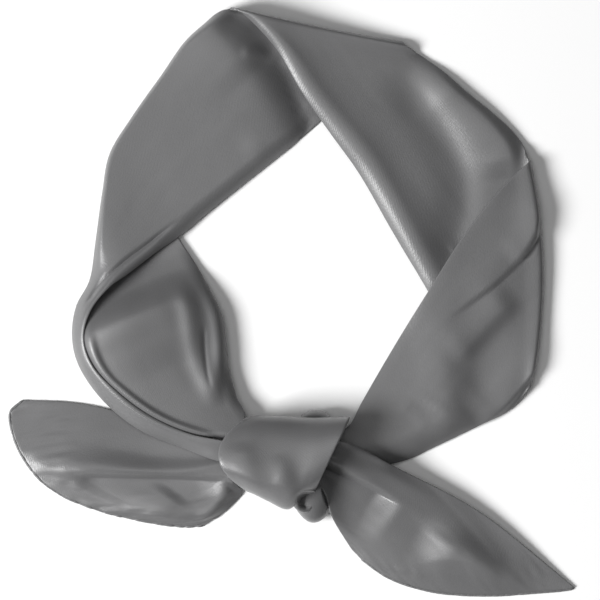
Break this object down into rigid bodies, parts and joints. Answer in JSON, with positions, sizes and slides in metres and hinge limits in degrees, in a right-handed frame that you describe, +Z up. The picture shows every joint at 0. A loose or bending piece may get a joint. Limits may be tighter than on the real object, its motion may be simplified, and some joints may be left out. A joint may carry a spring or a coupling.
{
  "type": "neckerchief",
  "caption": "Plain grey satin neckerchief: a square scarf folded to a band, closed to a loop and tied in front in one knot with two short tails, lying flat.",
  "frame": {"origin": "middle of the outline seen from above, on the surface that it lies on", "axes": "+Z up out of the surface, +Y from the knot and tails towards the back of the neck loop, +X towards the right tail's tip"},
  "size_m": [0.2843, 0.2954, 0.0288],
  "materials": {
    "satin": "satin",
    "hem": "satin"
  },
  "bodies": {
    "root": {"left_front_band": "satin", "left_back_band": "satin", "right_back_band": "satin", "right_front_band": "satin", "knot_wrap": "satin", "knot_under_turn": "satin", "knot_curl": "satin", "left_tail": "satin", "right_tail": "satin", "left_tail_hem": "hem", "right_tail_hem": "hem"}
  },
  "joints": []
}
